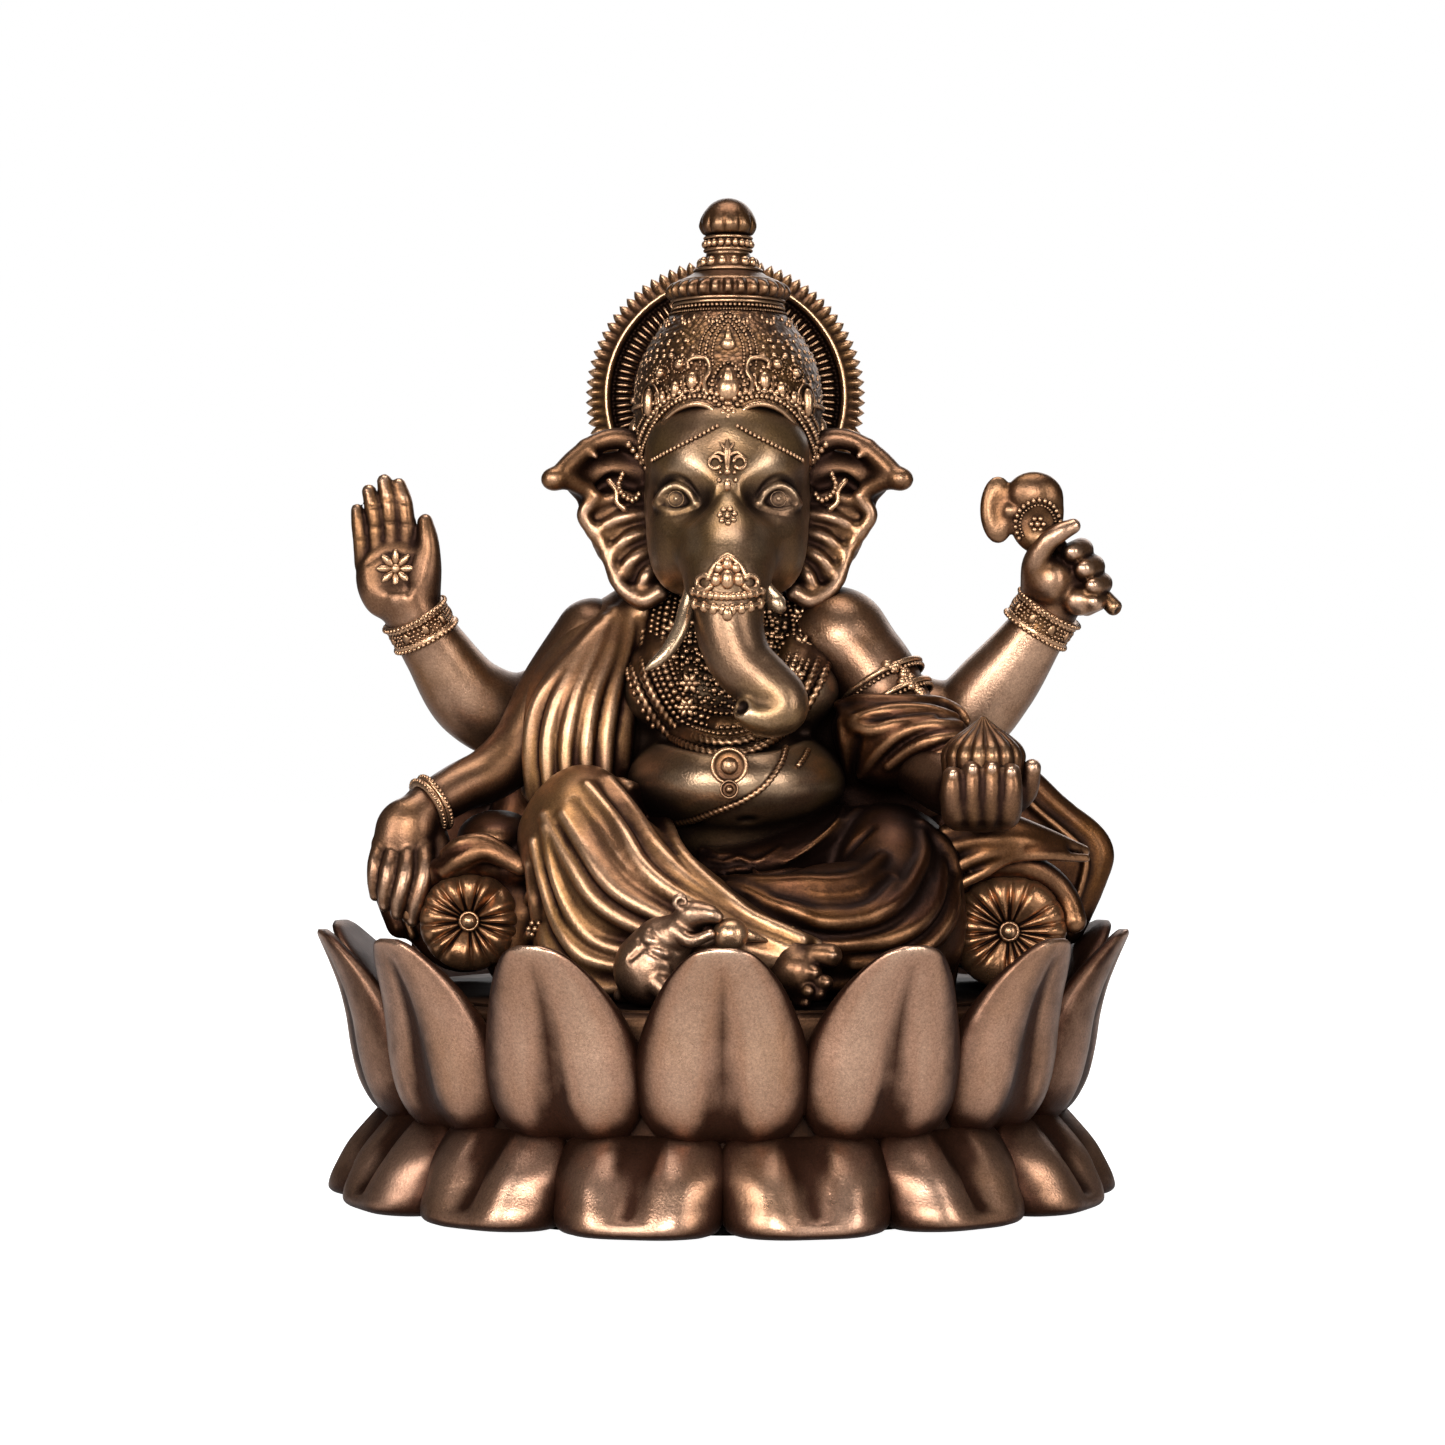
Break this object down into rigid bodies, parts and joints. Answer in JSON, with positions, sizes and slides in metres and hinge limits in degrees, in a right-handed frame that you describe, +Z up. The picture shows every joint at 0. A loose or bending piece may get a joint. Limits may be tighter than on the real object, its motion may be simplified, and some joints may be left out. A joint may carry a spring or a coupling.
{
  "type": "seated deity statuette",
  "caption": "Cold-cast bronze statuette of an elephant-headed four-armed deity seated at ease on a two-tier lotus base, with crown, halo, axe, sweet and mouse.",
  "frame": {"origin": "centre of the felt pad's underside, in the middle of the base", "axes": "+Z up through the figure, -Y the way the figure faces, +X towards the figure's own left"},
  "size_m": [0.129, 0.132, 0.1626],
  "materials": {
    "skin_bronze": "cold-cast bronze, greenish brown, satin",
    "cloth_bronze": "cold-cast bronze, rubbed copper-gold on the folds",
    "petal_bronze": "cold-cast bronze, pinkish brown, satin",
    "trim_bronze": "cold-cast bronze, rubbed highlights over dark recesses",
    "raw_casting": "unpolished cold-cast bronze, dark",
    "felt": "thin black felt",
    "steel": "plain steel rod"
  },
  "bodies": {
    "root": {"torso": "skin_bronze", "right_foot": "skin_bronze", "head": "skin_bronze", "trunk": "skin_bronze", "left_ear": "skin_bronze", "right_ear": "skin_bronze", "rear_right_arm": "skin_bronze", "rear_left_arm": "skin_bronze", "front_right_arm": "skin_bronze", "front_left_arm": "skin_bronze", "mouse": "skin_bronze", "right_leg": "cloth_bronze", "left_leg": "cloth_bronze", "right_shoulder_shawl": "cloth_bronze", "left_arm_shawl": "cloth_bronze", "left_bolster": "cloth_bronze", "right_bolster": "cloth_bronze", "left_bolster_cover": "cloth_bronze", "right_bolster_cover": "cloth_bronze", "left_side_cushion": "cloth_bronze", "right_side_cushion": "cloth_bronze", "upper_petal_ring": "petal_bronze", "lower_petal_ring": "petal_bronze", "right_tusk": "trim_bronze", "left_tusk_stub": "trim_bronze", "crown": "trim_bronze", "crown_finial": "trim_bronze", "halo": "trim_bronze", "rear_right_bracelet": "trim_bronze", "rear_left_bracelet": "trim_bronze", "front_right_bracelet": "trim_bronze", "left_armlet": "trim_bronze", "modak": "trim_bronze", "axe": "trim_bronze", "collar_necklace": "trim_bronze", "belly_pendant": "trim_bronze", "sacred_thread": "trim_bronze", "left_bolster_button": "trim_bronze", "right_bolster_button": "trim_bronze", "mouse_sweet": "trim_bronze", "lotus_core": "raw_casting", "base_plate": "raw_casting", "felt_pad": "felt", "body_pin": "steel", "neck_pin": "steel", "halo_pin": "steel", "rear_right_arm_pin": "steel", "rear_left_arm_pin": "steel"}
  },
  "joints": []
}
